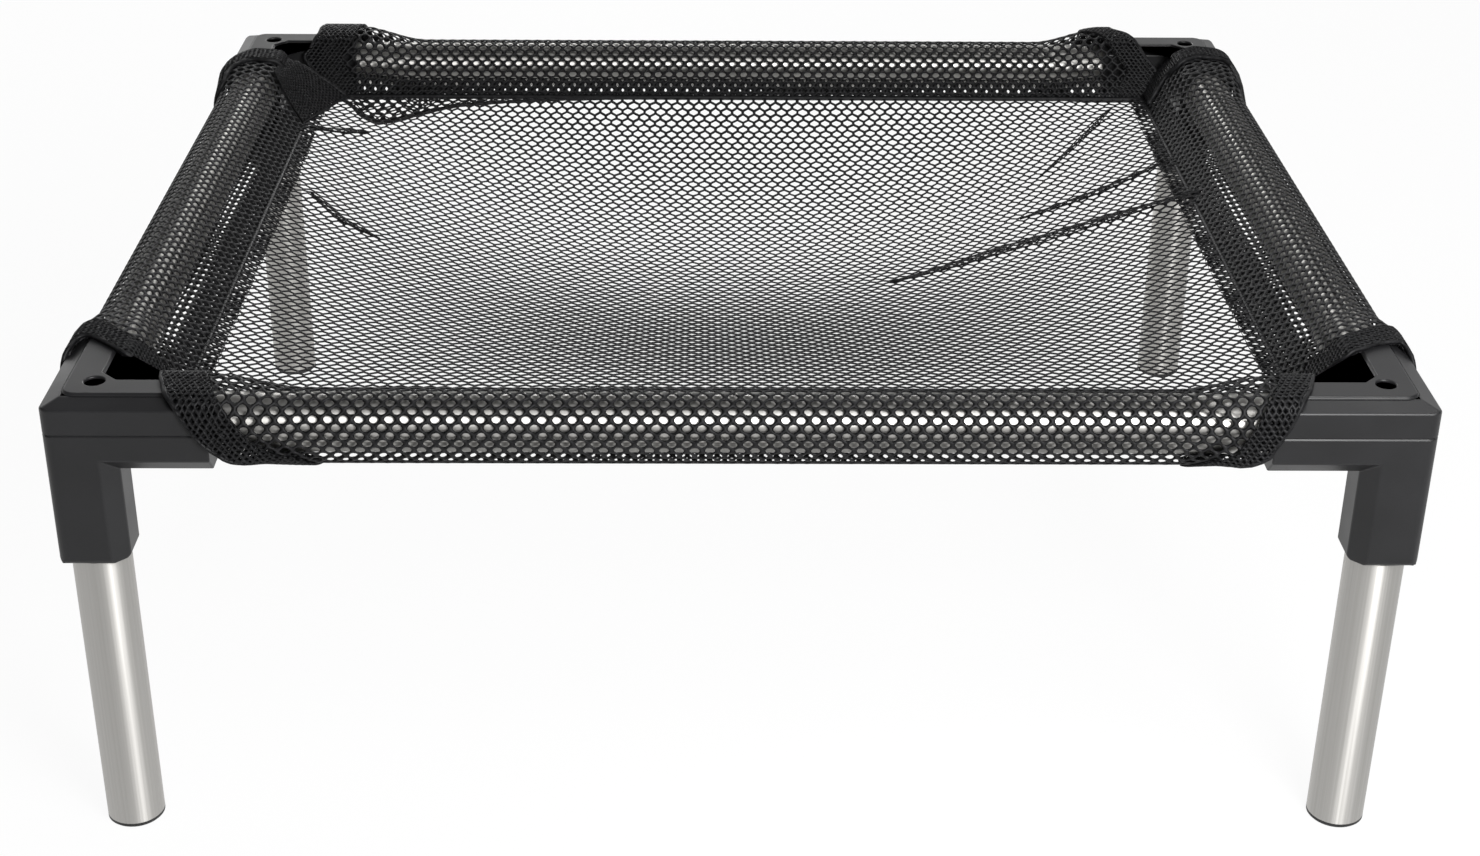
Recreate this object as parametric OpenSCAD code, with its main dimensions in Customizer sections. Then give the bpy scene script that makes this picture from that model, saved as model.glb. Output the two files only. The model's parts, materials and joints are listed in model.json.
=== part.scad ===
// Raised dog cot: four moulded corners join four rails and four pull-out legs under a sewn net cover.
// Millimetres, +Z up, origin on the floor at the centre of the four legs, front towards -Y.

/* [Frame] */
// Distance between the leg axes, left to right
leg_span_x = 550; // [420:1:900]
// Distance between the leg axes, front to rear
leg_span_y = 464; // [340:1:700]
// Height of the corner tops above the floor
cot_h = 217.5; // [200:0.5:320]

/* [Tubes] */
// Outside diameter of the rails and legs
tube_d = 25.4; // [22:0.1:30]
// Wall of the rails and legs
tube_wall = 1.2; // [0.8:0.1:2]
// Radial clearance of a tube in its socket and of a foot plug in its leg
tube_clear = 0.08; // [0.05:0.01:0.1]
// Gap left between a tube's end and the bottom of its socket
tube_end_gap = 0.3; // [0.2:0.1:1]

/* [Corner] */
// Wall of the corner beside a tube
corner_wall = 2.1; // [1.6:0.1:4]
// Length of a rail arm from the leg axis
arm_len = 54; // [46:1:80]
// Thickness of the corner above a rail, with the top plate
arm_roof = 3.4; // [2.8:0.1:6]
// Thickness of the corner below a rail
arm_floor = 5.6; // [5:0.1:9]
// Drop of the sloping upper edges of an arm
top_bevel = 2.9; // [2:0.1:4]
// Width of the sloping upper edges of an arm
top_slope = 7.7; // [5:0.1:9]
// Bevel along the lower edges of an arm and the upright edges of the leg socket
low_bevel = 6.8; // [4:0.1:8]
// Radius of the corner's outer upright edge
outer_round = 5; // [3:0.5:7]
// Height of the raised top plate
plate_h = 1.2; // [0.6:0.1:2]
// Step between the top slope and the top plate
plate_step = 0.5; // [0.3:0.1:1.5]
// Radius of the top plate's outer corner
plate_round = 6; // [3:0.5:8]
// Length of the top plate's diagonal gusset along each arm
plate_gusset = 7; // [3:0.5:10]
// Distance from the leg axis to the bottom of a rail socket
rail_stop = 16.5; // [16:0.5:20]
// Depth from the corner top to the bottom of the leg socket
leg_stop_depth = 19; // [17:0.5:30]
// Height of the leg socket's mouth above the floor
socket_z = 140; // [110:1:160]
// Chamfer round the mouth of the leg socket
mouth_chamfer = 1.4; // [0.5:0.1:2]
// Diameter of the accessory hole in the top
hole_d = 8.6; // [5:0.1:9]
// Depth of the accessory hole
hole_depth = 14; // [8:0.5:15]
// Offset of the accessory hole from the leg axis, along each arm
hole_offset = 5; // [3:0.5:6]

/* [Feet] */
// Thickness of a foot cap's flange under its leg
foot_flange = 2.2; // [1.5:0.1:6]
// Chamfer round the flange
foot_chamfer = 0.8; // [0.3:0.1:1.2]
// Length of a foot cap's plug inside its leg
foot_plug_len = 18; // [10:1:30]
// Wall of the hollow plug
foot_plug_wall = 2.4; // [1.5:0.1:4]

/* [Sleeves] */
// Thickness of the folded net
net_t = 1.2; // [0.8:0.1:2]
// Space between a rail and the sleeve round it
sleeve_clear = 0.7; // [0.5:0.1:2]
// Space between an arm's edges and the flared sleeve end round it
flare_clear = 0.6; // [0.5:0.1:2]
// Slack of the net below a rail
sleeve_drop = 3; // [0:0.5:6]
// Distance from a rail's axis to the seam that closes the sleeve
seam_in = 32; // [28:0.5:40]
// Distance of the seam below a rail's axis
seam_low = 9; // [6:0.5:12]
// Length over which a sleeve widens before the arm's end
flare_len = 40; // [25:1:60]
// Distance from the leg axis to the front and rear sleeves' ends, on top
end_top = 36; // [30:1:45]
// Distance from the leg axis to the front and rear sleeves' ends, on the outer face
end_face = 53; // [40:1:60]
// Distance from the leg axis to the front and rear sleeves' ends, below
end_low = 79; // [70:1:90]
// Distance from the leg axis to the side sleeves' front ends, on top and on the outer face
side_end_front = 50; // [30:1:55]
// Distance from the leg axis to the side sleeves' rear ends, on top and on the outer face
side_end_rear = 30; // [25:1:55]
// Distance from the leg axis to the side sleeves' ends, below
side_end_low = 72; // [70:1:90]
// Distance from the leg axis to a sleeve's end halfway to the seam
end_web = 24; // [20:1:28]
// Gap between two sleeves at a mitre, and between a sleeve and the bed panel
seam_gap = 0.4; // [0.3:0.1:1]

/* [Bed panel] */
// Depth of the sag at its deepest place
bed_sag = 40; // [10:1:50]
// How far the deepest place leans to the rear
bed_lean = 0.6; // [0.1:0.05:0.9]
// Width of the closed band round the net
bed_band = 9; // [5:0.5:15]
// Columns of half diamonds across the net
net_columns = 24; // [12:2:24]
// Rows of half diamonds along the net
net_rows = 20; // [10:2:22]
// Width of a net strand
strand_w = 4.2; // [3:0.1:6]

/* [Hidden] */

round_fn = 64;
slop = 1;
plastic = "#2f2f31";
steel = "#c4c5c4";
cap_black = "#18181a";
net_black = "#1c1c1d";

tube_r = tube_d / 2;
tube_in_r = tube_r - tube_wall;
socket_r = tube_r + tube_clear;
corner_half = socket_r + corner_wall;
rail_z = cot_h - arm_roof - socket_r;
arm_z = rail_z - socket_r - arm_floor;
body_top = cot_h - plate_h;
leg_stop_z = cot_h - leg_stop_depth;
plate_half = corner_half - top_slope - plate_step;
seam_z = rail_z - seam_low;

// Places a piece made at the front left leg axis, arms towards +X and +Y, at one of the four legs
module at_leg(right, rear) {
  mirror([right ? 1 : 0, 0, 0])
    mirror([0, rear ? 1 : 0, 0])
      translate([-leg_span_x / 2, -leg_span_y / 2, 0])
        children();
}

// Bevelled section of an arm, width by height
function arm_section() = [
  [-corner_half, arm_z + low_bevel],
  [-corner_half + low_bevel, arm_z],
  [corner_half - low_bevel, arm_z],
  [corner_half, arm_z + low_bevel],
  [corner_half, body_top - top_bevel],
  [corner_half - top_slope, body_top],
  [-corner_half + top_slope, body_top],
  [-corner_half, body_top - top_bevel]
];

// Side view of the leg socket, with the chamfered mouth at the bottom
function socket_side() = [
  [-corner_half + mouth_chamfer, socket_z],
  [corner_half - mouth_chamfer, socket_z],
  [corner_half, socket_z + mouth_chamfer],
  [corner_half, rail_z],
  [-corner_half, rail_z],
  [-corner_half, socket_z + mouth_chamfer]
];

// Extrudes a width-by-height outline along +X from one place to another
module along_x(outline, from, to) {
  translate([from, 0, 0])
    rotate([90, 0, 90])
      linear_extrude(to - from)
        polygon(outline);
}

// Extrudes a width-by-height outline along +Y from one place to another
module along_y(outline, from, to) {
  translate([0, to, 0])
    rotate([90, 0, 0])
      linear_extrude(to - from)
        polygon(outline);
}

// L-shaped outline seen from above, with its outer corner rounded
module ell(half, reach, corner_r) {
  translate([-half + corner_r, -half])
    square([reach + half - corner_r, 2 * half]);
  translate([-half, -half + corner_r])
    square([2 * half, reach + half - corner_r]);
  translate([-half + corner_r, -half + corner_r])
    circle(r = corner_r, $fn = round_fn);
}

// Leg socket seen from above: three bevelled edges and one rounded outer edge
module socket_plan() {
  side = corner_half - low_bevel;
  intersection() {
    ell(corner_half, corner_half, outer_round);
    polygon([
      [-corner_half, -corner_half],
      [side, -corner_half],
      [corner_half, -side],
      [corner_half, side],
      [side, corner_half],
      [-side, corner_half],
      [-corner_half, side]
    ]);
  }
}

module corner_arms() {
  intersection() {
    union() {
      along_x(arm_section(), 0, arm_len);
      along_y(arm_section(), 0, arm_len);
      intersection() {
        along_x(arm_section(), -corner_half, corner_half);
        along_y(arm_section(), -corner_half, corner_half);
      }
    }
    translate([0, 0, arm_z - slop])
      linear_extrude(cot_h)
        ell(corner_half, arm_len, outer_round);
  }
}

module corner_socket() {
  intersection() {
    along_x(socket_side(), -corner_half, corner_half);
    along_y(socket_side(), -corner_half, corner_half);
    translate([0, 0, socket_z - slop])
      linear_extrude(cot_h)
        socket_plan();
  }
}

module corner_plate() {
  translate([0, 0, body_top - slop])
    linear_extrude(plate_h + slop) {
      ell(plate_half, arm_len - plate_step, plate_round);
      polygon([
        [plate_half, plate_half],
        [plate_half + plate_gusset, plate_half],
        [plate_half, plate_half + plate_gusset]
      ]);
    }
}

module corner() {
  color(plastic)
    difference() {
      union() {
        corner_arms();
        corner_socket();
        corner_plate();
      }
      translate([rail_stop, 0, rail_z])
        rotate([0, 90, 0])
          cylinder(r = socket_r, h = arm_len - rail_stop + slop, $fn = round_fn);
      translate([0, rail_stop, rail_z])
        rotate([-90, 0, 0])
          cylinder(r = socket_r, h = arm_len - rail_stop + slop, $fn = round_fn);
      translate([0, 0, socket_z - slop])
        cylinder(r = socket_r, h = leg_stop_z - socket_z + slop, $fn = round_fn);
      translate([hole_offset, hole_offset, cot_h - hole_depth])
        cylinder(d = hole_d, h = hole_depth + slop, $fn = round_fn);
    }
}

// Steel tube standing on z = 0
module tube(length) {
  color(steel)
    difference() {
      cylinder(r = tube_r, h = length, $fn = round_fn);
      translate([0, 0, -slop])
        cylinder(r = tube_in_r, h = length + 2 * slop, $fn = round_fn);
    }
}

// Rail centred on the cot's middle, along +X, between two leg axes that are span apart
module rail(span) {
  length = span - 2 * (rail_stop + tube_end_gap);
  translate([-length / 2, 0, rail_z])
    rotate([0, 90, 0])
      tube(length);
}

module leg() {
  translate([0, 0, foot_flange])
    tube(leg_stop_z - tube_end_gap - foot_flange);
}

// Foot cap: a flange under the leg and a hollow plug inside it
module foot() {
  plug_r = tube_in_r - tube_clear;
  plug_top = foot_flange + foot_plug_len;
  color(cap_black)
    rotate_extrude($fn = round_fn)
      polygon([
        [0, 0],
        [tube_r - foot_chamfer, 0],
        [tube_r, foot_chamfer],
        [tube_r, foot_flange],
        [plug_r, foot_flange],
        [plug_r, plug_top],
        [plug_r - foot_plug_wall, plug_top],
        [plug_r - foot_plug_wall, 2 * foot_flange],
        [0, 2 * foot_flange]
      ]);
}

// Splits a face of any number of corners into triangles, without repeated corners
function triangles(face) =
  let (f = [for (k = [0:len(face) - 1]) if (face[k] != face[(k + 1) % len(face)]) face[k]])
    [for (k = [1:len(f) - 2]) [f[0], f[k], f[k + 1]]];

// Turns faces that run anticlockwise seen from outside into the clockwise triangles of a solid
function solid_faces(faces) = [for (f = faces) for (t = triangles(f)) [t[2], t[1], t[0]]];

function blend(a, b, t) = a + (b - a) * t;
function ease(t) = let (c = min(1, max(0, t))) c * c * (3 - 2 * c);

// Sleeve round a rail. Each point has s along the rail, h outwards and v upwards from the rail's axis
arc_start = 126;
arc_end = -116;
arc_steps = 12;
arm_reach = norm([corner_half, body_top - top_bevel - rail_z]);
plate_reach = norm([plate_half, cot_h - rail_z]);
bevel_reach = norm([corner_half, arm_z + low_bevel - rail_z]);
flare_r = max(arm_reach, plate_reach, bevel_reach) + flare_clear;
station_steps = [0, 8, 17, 28, 42, 62];

// Radius of the sleeve's inside at a distance from the leg axis
function sleeve_r(from_leg) =
  blend(tube_r + sleeve_clear, flare_r, ease((arm_len + flare_len - from_leg) / flare_len));

// Point of the section: k runs from the top of the seam round the rail to the underside
function section_point(k, from_leg, grow) =
  let (
    a = blend(arc_start, arc_end, k / arc_steps),
    r = sleeve_r(from_leg) + grow,
    slack = sleeve_drop * ease((from_leg - arm_len) / flare_len)
  )
    [r * cos(a), r * sin(a) - slack * max(0, -sin(a))];

// Distance from the leg axis to the sleeve's end at section point k: ends = [top, outer face, below]
function end_gap(k, ends) =
  let (
    a = blend(arc_start, arc_end, k / arc_steps),
    inner = flare_r + net_t
  )
    a > 90 ? max(blend(ends[0], end_web, (a - 90) / (arc_start - 90)), -inner * cos(a) + seam_gap)
    : a > 0 ? blend(ends[1], ends[0], a / 90)
    : blend(ends[1], ends[2], min(1, -a / 90));

// Closed loop of section points at one station, from the seam over the rail and back
function sleeve_loop(span, side, step, ends, grow) =
  let (
    seam_from_leg = seam_in + seam_gap + step,
    seam_h = -seam_in + (net_t - grow) * 2,
    seam_s = side * (span / 2 - seam_from_leg)
  )
    concat(
      [[seam_s, seam_h, -seam_low]],
      [for (k = [0:arc_steps])
        let (
          from_leg = end_gap(k, ends) + step,
          p = section_point(k, from_leg, grow)
        )
          [side * (span / 2 - from_leg), p[0], p[1]]]
    );

// Stations from one end to the other: the near end's steps, then the far end's steps turned round
function sleeve_rings(span, near, far, grow) =
  concat(
    [for (d = station_steps) sleeve_loop(span, -1, d, near, grow)],
    [for (n = [len(station_steps) - 1:-1:0]) sleeve_loop(span, 1, station_steps[n], far, grow)]
  );

module sleeve(span, near, far) {
  outer = sleeve_rings(span, near, far, net_t);
  inner = sleeve_rings(span, near, far, 0);
  count = len(outer[0]);
  last = len(outer) - 1;
  layer = count * (last + 1);
  points = [for (rings = [outer, inner]) for (ring = rings) for (p = ring) [p[0], -p[1], p[2]]];
  skin = [for (n = [0:last - 1]) for (k = [0:count - 1])
    [n * count + k, n * count + (k + 1) % count, (n + 1) * count + (k + 1) % count, (n + 1) * count + k]];
  lining = [for (f = skin) [for (m = [3:-1:0]) f[m] + layer]];
  near_rim = [for (k = [0:count - 1])
    [k, k + layer, (k + 1) % count + layer, (k + 1) % count]];
  far_rim = [for (f = near_rim) [for (m = [3:-1:0]) f[m] + last * count]];
  color(net_black)
    translate([0, 0, rail_z])
      polyhedron(points, solid_faces(concat(skin, lining, near_rim, far_rim)), convexity = 6);
}

// Bed panel: a sagging net of diamonds inside a closed band
bed_half = [leg_span_x / 2 - seam_in - seam_gap, leg_span_y / 2 - seam_in - seam_gap];
net_half = [bed_half.x - bed_band, bed_half.y - bed_band];
joint_d = strand_w / sqrt(2);
joint_offsets = [[0, 0], [-joint_d, 0], [joint_d, 0], [0, -joint_d], [0, joint_d]];
centre = 0;
west = 1;
east = 2;
south = 3;
north = 4;

lean_peak = (sqrt(1 + 3 * bed_lean * bed_lean) - 1) / (3 * bed_lean);

function lean_fall(t) = (1 - t * t) * (1 + bed_lean * t);
function bed_z(p) =
  seam_z - bed_sag * (1 - pow(p.x / bed_half.x, 2)) * lean_fall(p.y / bed_half.y) / lean_fall(lean_peak);

function net_point(i, j) = [(2 * i / net_columns - 1) * net_half.x, (2 * j / net_rows - 1) * net_half.y];

// True for a joint's point that would lie beyond the net's edge
function beyond_edge(i, j, side) =
  (i == 0 && side == west) || (i == net_columns && side == east)
    || (j == 0 && side == south) || (j == net_rows && side == north);

function on_corner(i, j) = (i == 0 || i == net_columns) && (j == 0 || j == net_rows);

// Number of one of a joint's five points; beyond the net's edge its centre stands in
function joint_point(i, j, side) =
  (i * (net_rows + 1) + j) * len(joint_offsets) + (beyond_edge(i, j, side) ? centre : side);

// Points of the joints along one edge of the net, in order, from one corner to just before the next
function edge_points(joints, first, last) =
  [for (n = [0:len(joints) - 1])
    for (side = n == 0 ? [centre, last] : n == len(joints) - 1 ? [first] : [first, last])
      joint_point(joints[n].x, joints[n].y, side)];

function net_rim() = concat(
  edge_points([for (i = [0:2:net_columns]) [i, 0]], west, east),
  edge_points([for (j = [0:2:net_rows]) [net_columns, j]], south, north),
  edge_points([for (i = [net_columns:-2:0]) [i, net_rows]], east, west),
  edge_points([for (j = [net_rows:-2:0]) [0, j]], north, south)
);

module bed_panel() {
  joints = [for (i = [0:net_columns]) for (j = [0:net_rows]) for (d = joint_offsets) net_point(i, j) + d];
  rim = net_rim();
  rim_n = len(rim);
  band_start = len(joints);
  outline = [for (n = rim) [joints[n].x * bed_half.x / net_half.x, joints[n].y * bed_half.y / net_half.y]];
  flat = concat(joints, outline);
  layer = len(flat);
  points = [for (lift = [net_t, 0]) for (p = flat) [p.x, p.y, bed_z(p) + lift]];
  knots = [for (i = [0:net_columns]) for (j = [0:net_rows]) if ((i + j) % 2 == 0)
    [for (side = [west, south, east, north])
      if (on_corner(i, j) || !beyond_edge(i, j, side)) joint_point(i, j, side)]];
  strands = [for (i = [0:net_columns - 1]) for (j = [0:net_rows - 1])
    (i + j) % 2 == 0
      ? [joint_point(i, j, east), joint_point(i + 1, j + 1, south),
         joint_point(i + 1, j + 1, west), joint_point(i, j, north)]
      : [joint_point(i + 1, j, north), joint_point(i, j + 1, east),
         joint_point(i, j + 1, south), joint_point(i + 1, j, west)]];
  band = [for (n = [0:rim_n - 1])
    let (next = (n + 1) % rim_n)
      [rim[n], band_start + n, band_start + next, rim[next]]];
  top = concat(knots, strands, band);
  strand_edges = [for (f = strands) for (e = [[f[0], f[1]], [f[2], f[3]]]) e];
  gap_edges = [for (f = band)
    if (floor(f[0] / len(joint_offsets)) != floor(f[3] / len(joint_offsets))) [f[3], f[0]]];
  outline_edges = [for (f = band) [f[1], f[2]]];
  underside = [for (f = top) [for (m = [len(f) - 1:-1:0]) f[m] + layer]];
  walls = [for (e = concat(strand_edges, gap_edges, outline_edges)) [e[1], e[0], e[0] + layer, e[1] + layer]];
  color(net_black)
    polyhedron(points, solid_faces(concat(top, underside, walls)), convexity = 8);
}

front_end = [end_top, end_face, end_low];
side_front_end = [side_end_front, side_end_front, side_end_low];
side_rear_end = [side_end_rear, side_end_rear, side_end_low];

module front_left_corner() { at_leg(false, false) corner(); }
module front_right_corner() { at_leg(true, false) corner(); }
module rear_left_corner() { at_leg(false, true) corner(); }
module rear_right_corner() { at_leg(true, true) corner(); }

module front_rail() { translate([0, -leg_span_y / 2, 0]) rail(leg_span_x); }
module rear_rail() { translate([0, leg_span_y / 2, 0]) rail(leg_span_x); }
module left_rail() { translate([-leg_span_x / 2, 0, 0]) rotate(90) rail(leg_span_y); }
module right_rail() { translate([leg_span_x / 2, 0, 0]) rotate(90) rail(leg_span_y); }

module front_left_leg() { at_leg(false, false) leg(); }
module front_right_leg() { at_leg(true, false) leg(); }
module rear_left_leg() { at_leg(false, true) leg(); }
module rear_right_leg() { at_leg(true, true) leg(); }

module front_left_foot() { at_leg(false, false) foot(); }
module front_right_foot() { at_leg(true, false) foot(); }
module rear_left_foot() { at_leg(false, true) foot(); }
module rear_right_foot() { at_leg(true, true) foot(); }

module front_sleeve() { translate([0, -leg_span_y / 2, 0]) sleeve(leg_span_x, front_end, front_end); }
module rear_sleeve() { translate([0, leg_span_y / 2, 0]) rotate(180) sleeve(leg_span_x, front_end, front_end); }
module left_sleeve() {
  translate([-leg_span_x / 2, 0, 0]) rotate(-90) sleeve(leg_span_y, side_rear_end, side_front_end);
}
module right_sleeve() {
  translate([leg_span_x / 2, 0, 0]) rotate(90) sleeve(leg_span_y, side_front_end, side_rear_end);
}

front_left_corner();
front_right_corner();
rear_left_corner();
rear_right_corner();
front_rail();
rear_rail();
left_rail();
right_rail();
front_left_leg();
front_right_leg();
rear_left_leg();
rear_right_leg();
front_left_foot();
front_right_foot();
rear_left_foot();
rear_right_foot();
bed_panel();
front_sleeve();
rear_sleeve();
left_sleeve();
right_sleeve();
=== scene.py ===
import json
import math
import bmesh
import bpy
import numpy as np
from mathutils import Matrix, Vector, noise
from mathutils.bvhtree import BVHTree

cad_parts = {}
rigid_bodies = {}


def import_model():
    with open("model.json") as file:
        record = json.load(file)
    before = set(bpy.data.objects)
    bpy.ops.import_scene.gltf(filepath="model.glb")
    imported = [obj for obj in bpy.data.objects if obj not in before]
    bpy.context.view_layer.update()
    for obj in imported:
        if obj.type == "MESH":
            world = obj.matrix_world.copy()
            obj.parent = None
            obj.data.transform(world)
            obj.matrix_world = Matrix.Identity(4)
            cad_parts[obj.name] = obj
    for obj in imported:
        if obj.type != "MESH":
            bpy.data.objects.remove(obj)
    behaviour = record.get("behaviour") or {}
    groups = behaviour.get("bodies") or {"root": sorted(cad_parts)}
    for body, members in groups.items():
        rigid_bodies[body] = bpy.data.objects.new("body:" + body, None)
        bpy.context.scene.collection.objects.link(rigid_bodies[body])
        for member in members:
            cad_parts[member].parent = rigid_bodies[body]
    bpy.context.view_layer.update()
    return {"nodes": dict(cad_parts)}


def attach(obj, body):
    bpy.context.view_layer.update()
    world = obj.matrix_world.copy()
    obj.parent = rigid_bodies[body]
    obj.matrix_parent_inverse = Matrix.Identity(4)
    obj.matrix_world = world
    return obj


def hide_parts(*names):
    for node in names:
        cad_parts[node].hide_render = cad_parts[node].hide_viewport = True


for old in list(bpy.data.objects):
    bpy.data.objects.remove(old)
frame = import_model()
nodes = frame["nodes"]
print("frame loaded:", len(nodes), "pieces")

mm = 0.001
cot = {
    "legX": 275.0,  # leg axes either side of the middle
    "legY": 232.0,
    "railZ": 201.32,
    "tubeR": 12.7,
    "seamIn": 32.0,  # the bed's seam lies this far inside the rail axis
    "seamLow": 9.0,  # and this far below it
    "bedX": 242.6,
    "bedY": 199.6,
    "bedSag": 40.0,
}


# Small builders

def newObject(name, data):
    made = bpy.data.objects.new(name, data)
    bpy.context.scene.collection.objects.link(made)
    return made


def meshFrom(name, points, faces, smooth=True):
    mesh = bpy.data.meshes.new(name)
    mesh.from_pydata([tuple(p) for p in points], [], [tuple(int(i) for i in f) for f in faces])
    mesh.update()
    if smooth:
        mesh.shade_smooth()
    return mesh


def asMesh(made):
    # the object's mesh with its modifiers worked in
    bpy.context.view_layer.update()
    ready = made.evaluated_get(bpy.context.evaluated_depsgraph_get())
    mesh = bpy.data.meshes.new_from_object(ready)
    bpy.data.objects.remove(made)
    return mesh


def gridFaces(rows, columns):
    index = np.arange(rows * columns).reshape(rows, columns)
    corners = [index[:-1, :-1], index[:-1, 1:], index[1:, 1:], index[1:, :-1]]
    return np.stack(corners, -1).reshape(-1, 4)


def outwardOf(points):
    along = np.gradient(points, axis=1)
    across = np.gradient(points, axis=0)
    normal = np.cross(along, across)
    return normal / np.maximum(np.linalg.norm(normal, axis=-1, keepdims=True), 1e-12)


def helperSheet(name, points, flat):
    # a hidden surface that netting is laid on: points and flat places in metres, rows by columns
    # its rim is widened in the flat only, so that a cell that hangs over an edge is gathered onto that edge
    rim = 0.008
    rimmed = lambda values: np.pad(values, ((1, 1), (1, 1), (0, 0)), mode="edge")
    normals, inside = rimmed(outwardOf(points)), np.pad(np.ones(points.shape[:2]), 1)
    points, flat = rimmed(points), rimmed(flat)
    flat[:, 0, 0] -= rim
    flat[:, -1, 0] += rim
    flat[0, :, 1] -= rim
    flat[-1, :, 1] += rim
    rows, columns = points.shape[:2]
    mesh = meshFrom(name, points.reshape(-1, 3), gridFaces(rows, columns))
    uv = mesh.uv_layers.new(name="flat")
    corner = np.zeros(len(mesh.loops), np.int32)
    mesh.loops.foreach_get("vertex_index", corner)
    uv.data.foreach_set("uv", flat.reshape(-1, 2)[corner].astype(np.float32).ravel())
    outward = mesh.attributes.new("outward", "FLOAT_VECTOR", "POINT")
    outward.data.foreach_set("vector", normals.reshape(-1, 3).astype(np.float32).ravel())
    within = mesh.attributes.new("inside", "FLOAT", "POINT")
    within.data.foreach_set("value", inside.astype(np.float32).ravel())
    return newObject(name, mesh)


def joined(name, parts):
    whole = bmesh.new()
    for part in parts:
        whole.from_mesh(part)
    mesh = bpy.data.meshes.new(name)
    whole.to_mesh(mesh)
    whole.free()
    mesh.shade_smooth()
    return mesh


def roundCord(name, path, radius, sides=8):
    # a closed round cord along a path of points in metres, with one radius or one for each point
    path = np.array(path, float)
    radii = np.broadcast_to(radius, len(path))
    ahead = np.gradient(path, axis=0)
    ahead /= np.maximum(np.linalg.norm(ahead, axis=1, keepdims=True), 1e-12)
    side = np.cross(ahead[0], (0.31, 0.52, 0.79))
    points, faces = [], []
    for i, place in enumerate(path):
        side = side - ahead[i] * np.dot(side, ahead[i])
        side /= np.linalg.norm(side)
        other = np.cross(ahead[i], side)
        for k in range(sides):
            turn = 2 * math.pi * k / sides
            points.append(place + radii[i] * (math.cos(turn) * side + math.sin(turn) * other))
    last = len(path) - 1
    for i in range(last):
        for k in range(sides):
            a, b = i * sides + k, i * sides + (k + 1) % sides
            faces.append((a, b, b + sides, a + sides))
    faces.append(tuple(range(sides))[::-1])
    faces.append(tuple(last * sides + k for k in range(sides)))
    return meshFrom(name, points, faces)


def smoothStep(low, high, value):
    t = np.clip((np.asarray(value, float) - low) / (high - low), 0, 1)
    return t * t * (3 - 2 * t)


def runOf(path):
    # how far along a path each of its points is
    return np.concatenate([[0], np.cumsum(np.linalg.norm(np.diff(path, axis=0), axis=1))])


def spread(path, count):
    # the same path with evenly spaced points
    path = np.array(path, float)
    gone = runOf(path)
    wanted = np.linspace(0, gone[-1], count)
    return np.stack([np.interp(wanted, gone, path[:, i]) for i in range(path.shape[1])], 1)


# Shader groups shared by the finishes

def socketIn(tree, name, kind, value=None):
    made = tree.interface.new_socket(name, in_out="INPUT", socket_type=kind)
    if value is not None:
        made.default_value = value
    return made


def socketOut(tree, name, kind):
    return tree.interface.new_socket(name, in_out="OUTPUT", socket_type=kind)


def grainGroup():
    # fine speckle and slow patches, both about 0 to 1, from object places
    tree = bpy.data.node_groups.new("Moulded Grain", "ShaderNodeTree")
    socketIn(tree, "Grain Scale", "NodeSocketFloat", 900.0)
    socketIn(tree, "Patch Scale", "NodeSocketFloat", 30.0)
    socketOut(tree, "Grain", "NodeSocketFloat")
    socketOut(tree, "Patches", "NodeSocketFloat")
    node, link = tree.nodes.new, tree.links.new
    given, result = node("NodeGroupInput"), node("NodeGroupOutput")
    place = node("ShaderNodeTexCoord")
    fine, slow = node("ShaderNodeTexNoise"), node("ShaderNodeTexNoise")
    fine.inputs["Detail"].default_value = 3.0
    slow.inputs["Detail"].default_value = 4.0
    for noiseNode, scale in ((fine, "Grain Scale"), (slow, "Patch Scale")):
        link(place.outputs["Object"], noiseNode.inputs["Vector"])
        link(given.outputs[scale], noiseNode.inputs["Scale"])
    link(fine.outputs[0], result.inputs["Grain"])
    link(slow.outputs[0], result.inputs["Patches"])
    return tree


def streakGroup():
    # long thin streaks along one direction: the stretch is small along the tube and large across it
    tree = bpy.data.node_groups.new("Drawn Streaks", "ShaderNodeTree")
    socketIn(tree, "Stretch", "NodeSocketVector", (1.0, 1.0, 1.0))
    socketOut(tree, "Streaks", "NodeSocketFloat")
    node, link = tree.nodes.new, tree.links.new
    given, result = node("NodeGroupInput"), node("NodeGroupOutput")
    place, stretch = node("ShaderNodeTexCoord"), node("ShaderNodeVectorMath")
    lines = node("ShaderNodeTexNoise")
    stretch.operation = "MULTIPLY"
    lines.inputs["Scale"].default_value = 1.0
    lines.inputs["Detail"].default_value = 4.0
    link(place.outputs["Object"], stretch.inputs[0])
    link(given.outputs["Stretch"], stretch.inputs[1])
    link(stretch.outputs[0], lines.inputs["Vector"])
    link(lines.outputs[0], result.inputs["Streaks"])
    return tree


grain = grainGroup()
streaks = streakGroup()


def startMaterial(name):
    made = bpy.data.materials.new(name)
    made.use_nodes = True
    tree = made.node_tree
    return made, tree, tree.nodes["Principled BSDF"]


def useGroup(tree, group, values):
    made = tree.nodes.new("ShaderNodeGroup")
    made.node_tree = group
    for name, value in values.items():
        made.inputs[name].default_value = value
    return made


noiseSpan = (0.3, 0.7)  # most of a noise texture lies between these


def between(tree, source, low, high):
    # noise spread over low to high
    made = tree.nodes.new("ShaderNodeMapRange")
    for name, value in zip(("From Min", "From Max", "To Min", "To Max"), (*noiseSpan, low, high)):
        made.inputs[name].default_value = value
    tree.links.new(source, made.inputs["Value"])
    return made.outputs[0]


def colourBetween(tree, source, dark, light):
    made = tree.nodes.new("ShaderNodeValToRGB")
    for stop, place, colour in zip(made.color_ramp.elements, noiseSpan, (dark, light)):
        stop.position = place
        stop.color = (*colour, 1)
    tree.links.new(source, made.inputs["Fac"])
    return made.outputs[0]


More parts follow.
